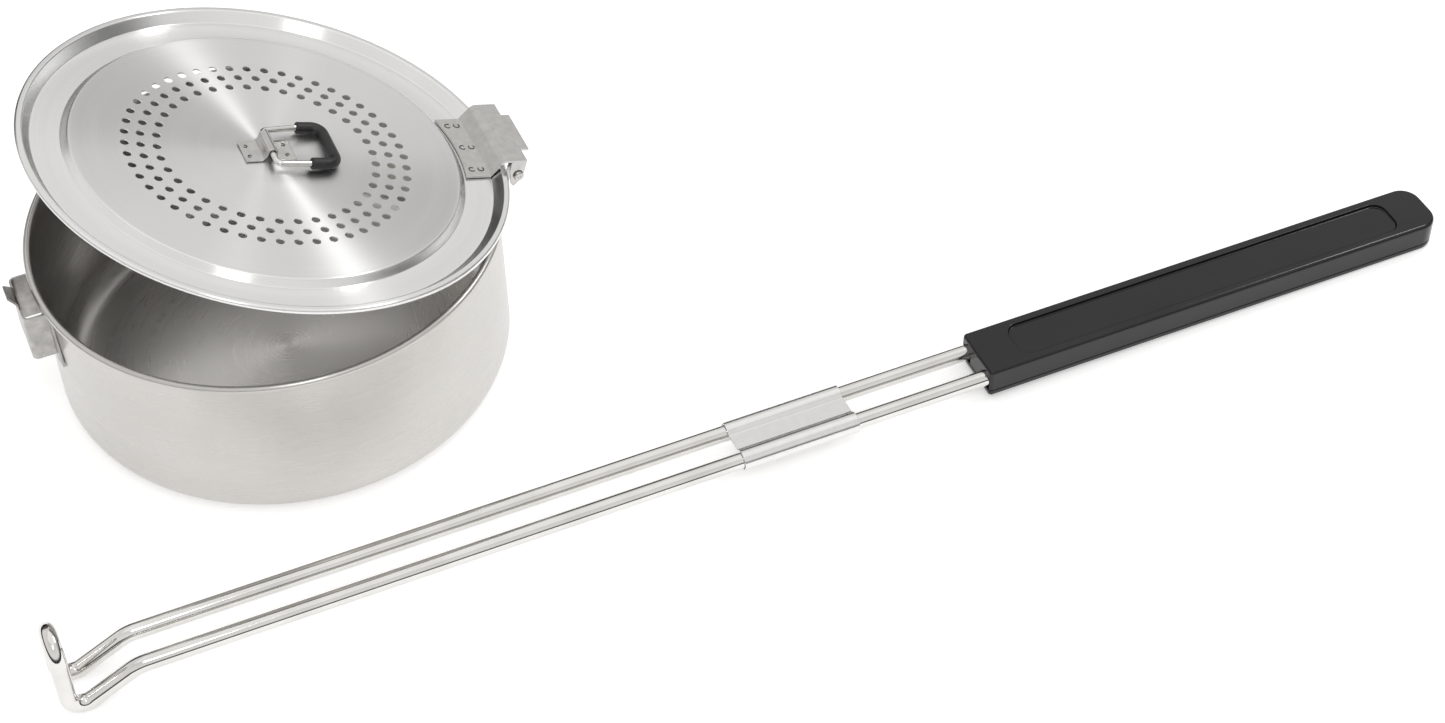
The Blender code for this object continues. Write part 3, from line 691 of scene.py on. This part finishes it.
def weld_mark(name, x, y, z, turn, radius=1.4 * MM):
    """A small open ring pressed up by a spot weld."""
    angles = [turn + math.radians(d) for d in range(0, 281, 20)]
    path = [Vector((x + radius * math.cos(a), y + radius * math.sin(a), z)) for a in angles]
    mark = loose(name, tube(path, 0.32 * MM, 10, ends={0: 0.5, -1: 0.5}))
    finish_piece(mark, WELD, "lid", matrix=LID)


def make_hinge_leaf():
    """The leaf that is welded to the lid, with its ears and tongue."""
    lift = SHELF_TOP + GAP + LEAF_SHEET / 2
    hat = LEAF_HAT_TOP - LEAF_SHEET / 2
    turns = [(80.0 * MM, lift), (104.6 * MM, lift), (110.0 * MM, hat), (LEAF_TONGUE_EDGE, hat)]
    outline = sheet_outline(flat_path(turns, [1.6 * MM, 3.0 * MM], 8), LEAF_SHEET)
    leaf = loose("leaf", prism(outline, -LEAF_HALF_WIDTH, LEAF_HALF_WIDTH, along_y))
    ear_top = hat + 0.1 * MM
    ear = [(LEAF_EAR_ROOT, ear_top), (LEAF_EAR_ROOT, hinge.z + 3.0 * MM), (116.6 * MM, hinge.z - 5.2 * MM)]
    ear += [(118.2 * MM, hinge.z - 6.6 * MM), (LEAF_EAR_EDGE, hinge.z - 1.6 * MM), (LEAF_EAR_EDGE, ear_top)]
    ears = []
    for side in (-1, 1):
        low, high = sorted((side * LEAF_HALF_WIDTH, side * (LEAF_HALF_WIDTH - LEAF_SHEET)))
        ears.append(loose("ear", prism(ear, low, high, along_y)))
    combine(leaf, ears, "UNION")
    wide = 2 * LEAF_HALF_WIDTH
    bore = [Vector((hinge.x, -wide, hinge.z)), Vector((hinge.x, wide, hinge.z))]
    cutters = [
        loose("arc", tube([Vector((0, 0, 80 * MM)), Vector((0, 0, 92 * MM))], LEAF_FRONT_RADIUS, 256)),
        loose("bore", tube(bore, PIN_RADIUS + GAP, 24)),
    ]
    for side in (-1, 1):
        near = LEAF_TONGUE_HALF * side
        far = 30 * MM * side
        notch = [(LEAF_EAR_EDGE, near), (LEAF_EAR_EDGE, far), (130 * MM, far), (130 * MM, near)]
        cutters.append(loose("notch", prism(notch, 90 * MM, 100 * MM, along_z)))
    combine(leaf, cutters, "DIFFERENCE")
    finish_piece(leaf, BRACKET, "lid", "hinge_leaf", matrix=LID, bevel=0.2 * MM)
    top = lift + LEAF_SHEET / 2
    for n, y in enumerate((-17.0 * MM, 0.0, 17.0 * MM)):
        for k, outward in enumerate((0.0, 4.6 * MM)):
            x = math.sqrt(LEAF_WELD_RADIUS**2 - y**2) + outward
            weld_mark(f"leaf_weld_{n}_{k}", x, y, top, math.radians(40 + 90 * k))


def make_bail():
    """The strap on the lid, the wire bail that turns in it, and the sleeve on the bail."""
    axle_z = AXLE.z
    base = PLATEAU_TOP + GAP + STRAP_SHEET / 2
    wrap = BAIL_WIRE + GAP + STRAP_SHEET / 2
    path = [(BAIL_X - 12.0 * MM, base), (BAIL_X - 5.2 * MM, base), (BAIL_X - 4.3 * MM, base + 0.15 * MM)]
    path += [(BAIL_X - 3.6 * MM, base + 0.6 * MM), (BAIL_X - 2.7 * MM, base + 1.9 * MM)]
    path += arc((BAIL_X, axle_z), wrap, 190, -10, 20)
    path += [(BAIL_X + 2.35 * MM, base + 1.9 * MM), (BAIL_X + 2.6 * MM, base + 0.7 * MM)]
    path += [(BAIL_X + 2.95 * MM, base + 0.2 * MM), (BAIL_X + 3.6 * MM, base), (BAIL_X + 12.4 * MM, base)]
    strap_outline = sheet_outline(path, STRAP_SHEET)
    strap = loose("strap", prism(strap_outline, -STRAP_HALF_WIDTH, STRAP_HALF_WIDTH, along_y))
    finish_piece(strap, BRACKET, "lid", "bail_bracket", matrix=LID, bevel=0.18 * MM)
    top = base + STRAP_SHEET / 2
    for n, x in enumerate((-9.3, 8.9)):
        for k, y in enumerate((-3.8, 3.8)):
            turn = math.radians(200 * k)
            weld_mark(f"strap_weld_{n}_{k}", BAIL_X + x * MM, y * MM, top, turn, radius=0.8 * MM)

    droop = -(BAIL_AXLE_HEIGHT - SLEEVE_RADIUS - GAP) / BAIL_REACH

    def at(x, y):
        return Vector((x, y, droop * x))

    start = STRAP_HALF_WIDTH - 1.0 * MM
    corners = [
        (0, start, 0),
        at(0, BAIL_FAR_ROOT_Y),
        at(SLEEVE_START, BAIL_FAR_Y),
        at(BAIL_REACH, BAIL_FAR_Y),
        at(BAIL_REACH, BAIL_NEAR_Y),
        at(0, BAIL_NEAR_Y),
        (0, start - GAP, 0),
    ]
    loop = round_corners(corners, [2.2 * MM, 3.0 * MM, 5.0 * MM, 5.0 * MM, 2.6 * MM], 12)
    bail = loose("bail", tube(loop, BAIL_WIRE, 28))
    finish_piece(bail, POLISHED, "bail", "bail_wire", matrix=BAIL)
    sleeve = round_corners(
        [
            at(SLEEVE_START + 1.0 * MM, BAIL_FAR_Y),
            at(BAIL_REACH, BAIL_FAR_Y),
            at(BAIL_REACH, BAIL_NEAR_Y),
            at(SLEEVE_START, BAIL_NEAR_Y),
        ],
        [5.0 * MM, 5.0 * MM],
        14,
    )
    tips = []
    for end, inward in ((sleeve[0], sleeve[1]), (sleeve[-1], sleeve[-2])):
        step = (inward - end).normalized()
        tips.append([end, end + step * 0.25 * MM, end + step * 0.6 * MM])
    sleeve = tips[0] + sleeve[1:-1] + tips[1][::-1]
    shrink = {0: 0.86, 1: 0.96, -1: 0.86, -2: 0.96}
    grip = loose("sleeve", tube(sleeve, SLEEVE_RADIUS, 32, bore=BAIL_WIRE + GAP, ends=shrink))
    finish_piece(grip, RUBBER, "bail", "bail_grip", matrix=BAIL, angle=50)


# ---------------------------------------------------------------- handle
def make_handle_wire():
    """One rod bent double: two long runs, a step and an upright hook."""
    y = ROD_HALF_SPACING
    step_end_z = -(STEP_X - HOOK_X) * math.tan(STEP_ANGLE)
    top = HOOK_RISE - y
    side = [(ROD_END, 0), (STEP_X, 0), (HOOK_X, step_end_z), (HOOK_X, top)]
    near = round_corners([(x, -y, z) for x, z in side], [16 * MM, HOOK_BEND], 14)
    loop = [Vector((HOOK_X, y * math.sin(math.radians(a)), top + y * math.cos(math.radians(a))))
            for a in range(-84, 90, 6)]
    far = [Vector((p.x, -p.y, p.z)) for p in reversed(near)]
    wire = loose("rods", tube(near + loop + far, ROD_RADIUS, 40))
    finish_piece(wire, POLISHED, "handle", "handle_wire", matrix=HANDLE)


def make_slider():
    """A sheet wrapped round both rods, with a web between them."""
    wrap = ROD_RADIUS + GAP + SLIDER_SHEET / 2
    near = arc((-ROD_HALF_SPACING, 0), wrap, 285, 30, 36)
    far = [(-y, z) for y, z in reversed(near)]
    web = [(-SLIDER_WEB_HALF - 0.3 * MM, SLIDER_WEB_Z + 0.02 * MM), (-SLIDER_WEB_HALF, SLIDER_WEB_Z)]
    path = near[:-1] + web + [(-u, v) for u, v in reversed(web)] + far[1:]
    bm = prism(sheet_outline(path, SLIDER_SHEET), SLIDER_START, SLIDER_START + SLIDER_LENGTH, along_x)
    item = loose("sleeve_slider", bm)
    finish_piece(item, SLIDER, "slider", "slider", matrix=HANDLE, bevel=0.12 * MM)


def grip_level(inset, z):
    """The grip's outline at a height, drawn in by the inset."""
    front = max(1.2 * MM, 2.0 * MM - inset)
    half = GRIP_HALF_WIDTH - inset
    return rounded_box(GRIP_START + inset, GRIP_END - inset, half, front, GRIP_REAR_RADIUS - inset, 14), z


def make_grip():
    """The grip's two halves and the screws that hold them."""
    top = GRIP_HALF_HEIGHT
    levels = [(0.25 * MM, GRIP_PARTING_Z), (0.0, GRIP_PARTING_Z + 0.3 * MM), (0.1 * MM, top - 2.0 * MM)]
    levels += [(0.1 * MM + 1.7 * MM * (1 - math.cos(a)), top - 2.0 * MM + 2.0 * MM * math.sin(a))
               for a in [math.radians(d) for d in range(12, 91, 13)]]
    upper = loose("grip_top", stacked([grip_level(*level) for level in levels]))
    panel = []
    for grow, drop in ((-0.8, 1.4), (-0.62, 1.37), (-0.45, 1.25), (-0.34, 1.05), (-0.16, 0.35), (-0.04, 0.14),
                       (0.2, 0.02), (0.5, -0.06)):
        corner = PANEL_RADIUS + grow * MM
        x0, x1 = PANEL_START - grow * MM, PANEL_END + grow * MM
        panel.append((rounded_box(x0, x1, PANEL_HALF_WIDTH + grow * MM, corner, corner, 14), top - drop * MM))
    cutters = [loose("panel", stacked(panel))]
    slot = ROD_RADIUS + GAP - 0.05 * MM
    for side in (-1, 1):
        y = side * ROD_HALF_SPACING
        outline = [(y - slot, GRIP_PARTING_Z - 1 * MM), (y + slot, GRIP_PARTING_Z - 1 * MM)]
        outline += arc((y, 0), slot, 0, 180, 24)
        cutters.append(loose("channel", prism(outline, GRIP_START - 5 * MM, ROD_END + 2 * MM, along_x)))
    for x in SCREW_X:
        ends = (Vector((x, 0, -9 * MM)), Vector((x, 0, 3.4 * MM)))
        cutters.append(loose("pilot", tube(ends, SCREW_RADIUS + GAP, 20)))
    combine(upper, cutters, "DIFFERENCE")
    finish_piece(upper, PLASTIC, "handle", "grip_upper", matrix=HANDLE, angle=28)

    seam = GRIP_PARTING_Z - GAP
    bottom = -GRIP_HALF_HEIGHT
    levels = [(1.6 * MM - 1.6 * MM * math.sin(a), bottom + 1.6 * MM - 1.6 * MM * math.cos(a))
              for a in [math.radians(d) for d in range(0, 91, 15)]]
    levels += [(0.0, seam - 0.3 * MM), (0.25 * MM, seam)]
    lower = loose("grip_base", stacked([grip_level(*level) for level in levels]))
    holes = []
    for x in SCREW_X:
        ends = (Vector((x, 0, -9 * MM)), Vector((x, 0, 0)))
        holes.append(loose("hole", tube(ends, SCREW_RADIUS + GAP, 20)))
        ends = (Vector((x, 0, bottom - 1 * MM)), Vector((x, 0, bottom + 2.4 * MM)))
        holes.append(loose("recess", tube(ends, SCREW_HEAD_RADIUS + GAP, 32)))
    combine(lower, holes, "DIFFERENCE")
    finish_piece(lower, PLASTIC, "handle", "grip_lower", matrix=HANDLE, angle=28)

    for number, x in enumerate(SCREW_X, start=1):
        head = bottom + 0.4 * MM
        neck = bottom + 2.1 * MM
        profile = [(0.0, head), (1.6 * MM, head + 0.05 * MM), (2.5 * MM, head + 0.3 * MM)]
        profile += [(SCREW_HEAD_RADIUS, head + 0.75 * MM), (SCREW_HEAD_RADIUS, neck), (SCREW_RADIUS, neck)]
        profile += [(SCREW_RADIUS, 2.4 * MM), (0.0, 3.0 * MM)]
        bm = lathe(profile, 32)
        bmesh.ops.translate(bm, verts=bm.verts, vec=(x, 0, 0))
        screw = loose(f"screw_{number}", bm)
        drive = []
        for long, short in ((1.7 * MM, 0.38 * MM), (0.38 * MM, 1.7 * MM)):
            slot_outline = [(x - long, -short), (x + long, -short), (x + long, short), (x - long, short)]
            drive.append(loose("drive", prism(slot_outline, head - 1 * MM, head + 0.9 * MM, along_z)))
        combine(screw, drive, "DIFFERENCE")
        finish_piece(screw, PLATED, "handle", f"grip_screw_{number}", matrix=HANDLE)


# ---------------------------------------------------------------- stage, light and camera
def make_floor():
    """The pale floor, which is not part of the object."""
    bm = bmesh.new()
    bmesh.ops.create_grid(bm, x_segments=1, y_segments=1, size=3.0)
    floor = loose("floor", bm)
    material, tree, shader = new_material("pale_floor", (0.93, 0.93, 0.93), 0.0, 0.9)
    grain = stretched_noise(tree, 6.0, 2.0, (1.0, 1.0, 1.0))
    tree.links.new(tint(tree, grain, (0.92, 0.92, 0.92), (0.94, 0.94, 0.94)), shader.inputs["Base Color"])
    shader.inputs["Specular IOR Level"].default_value = 0.0
    shader.inputs["Emission Color"].default_value = (1.0, 1.0, 1.0, 1.0)
    shader.inputs["Emission Strength"].default_value = 0.38
    floor.data.materials.append(material)


def make_world():
    """White room: bright overhead, with a darker band at the horizon that draws lines on polished bars."""
    world = bpy.data.worlds.new("studio")
    bpy.context.scene.world = world
    world.use_nodes = True
    tree = world.node_tree
    background = tree.nodes["Background"]
    coords = tree.nodes.new("ShaderNodeTexCoord")
    split = tree.nodes.new("ShaderNodeSeparateXYZ")
    tree.links.new(coords.outputs["Generated"], split.inputs["Vector"])
    ramp = tree.nodes.new("ShaderNodeValToRGB")
    stops = ((0.0, 0.05), (0.1, 0.05), (0.2, 0.1), (0.32, 0.85), (0.48, 0.95), (1.0, 0.78))
    elements = ramp.color_ramp.elements
    while len(elements) < len(stops):
        elements.new(0.5)
    for element, (position, value) in zip(elements, stops):
        element.position = position
        element.color = (value, value * 0.995, value * 0.985, 1.0)
    tree.links.new(split.outputs["Z"], ramp.inputs["Fac"])
    # the walls behind and to the right are darker than the rest of the room
    walls = tree.nodes.new("ShaderNodeMath")
    walls.operation = "MULTIPLY"
    tree.links.new(ranged(tree, split.outputs["Y"], 1.0, 0.12, 0.8, 0.88), walls.inputs[0])
    tree.links.new(ranged(tree, split.outputs["X"], 1.0, 0.5, 0.72, 0.9), walls.inputs[1])
    tree.links.new(ramp.outputs["Color"], background.inputs["Color"])
    tree.links.new(walls.outputs["Value"], background.inputs["Strength"])


def area_light(name, direction, distance, size, size_y, power):
    """A lamp that faces the pan from the given direction."""
    light = bpy.data.lights.new(name, "AREA")
    light.shape = "RECTANGLE"
    light.size = size
    light.size_y = size_y
    light.energy = power
    item = bpy.data.objects.new(name, light)
    towards = Vector(direction).normalized()
    item.location = towards * distance + Vector((0.1, -0.05, 0.05))
    item.rotation_euler = towards.to_track_quat("Z", "Y").to_euler()
    bpy.context.scene.collection.objects.link(item)


def make_camera():
    """A camera at the photograph's angle, placed by its distance from the pan's base and its turns."""
    aim = Vector((BASE_ACROSS, BASE_DOWN, 1.0)).normalized()
    forward = Vector((0, math.cos(CAMERA_ELEVATION), -math.sin(CAMERA_ELEVATION)))
    up = Vector((0, math.sin(CAMERA_ELEVATION), math.cos(CAMERA_ELEVATION)))
    right = Vector((1, 0, 0))
    across = right * math.cos(CAMERA_ROLL) + up * math.sin(CAMERA_ROLL)
    above = up * math.cos(CAMERA_ROLL) - right * math.sin(CAMERA_ROLL)
    location = -(across * aim.x - above * aim.y + forward * aim.z) * CAMERA_DISTANCE
    turn = Matrix.Rotation(-CAMERA_AZIMUTH, 3, "Z")
    axes = [turn @ v for v in (across, above, -forward)]
    place = Matrix((
        (axes[0].x, axes[1].x, axes[2].x),
        (axes[0].y, axes[1].y, axes[2].y),
        (axes[0].z, axes[1].z, axes[2].z),
    )).to_4x4()
    place.translation = turn @ location
    data = bpy.data.cameras.new("camera")
    data.sensor_width = SENSOR_WIDTH
    data.lens = LENS
    data.clip_start = 0.05
    data.clip_end = 50.0
    camera = bpy.data.objects.new("camera", data)
    camera.matrix_world = place
    bpy.context.scene.collection.objects.link(camera)
    bpy.context.scene.camera = camera


make_camera()
make_world()
make_floor()
area_light("overhead", (0.1, 0.1, 1.0), 2.2, 2.4, 2.4, 5.0)
area_light("lid_strip", (0.655, 0.1, 0.745), 2.0, 0.8, 0.14, 4.0)
area_light("front_key", (-0.1, -0.5, 0.86), 2.0, 0.4, 0.4, 3.0)
make_pan()
make_socket()
make_hinge_base()
make_hinge_pin()
make_lid()
make_hinge_leaf()
make_bail()
make_handle_wire()
make_slider()
make_grip()
bpy.context.scene.view_settings.view_transform = "Standard"
bpy.context.view_layer.update()
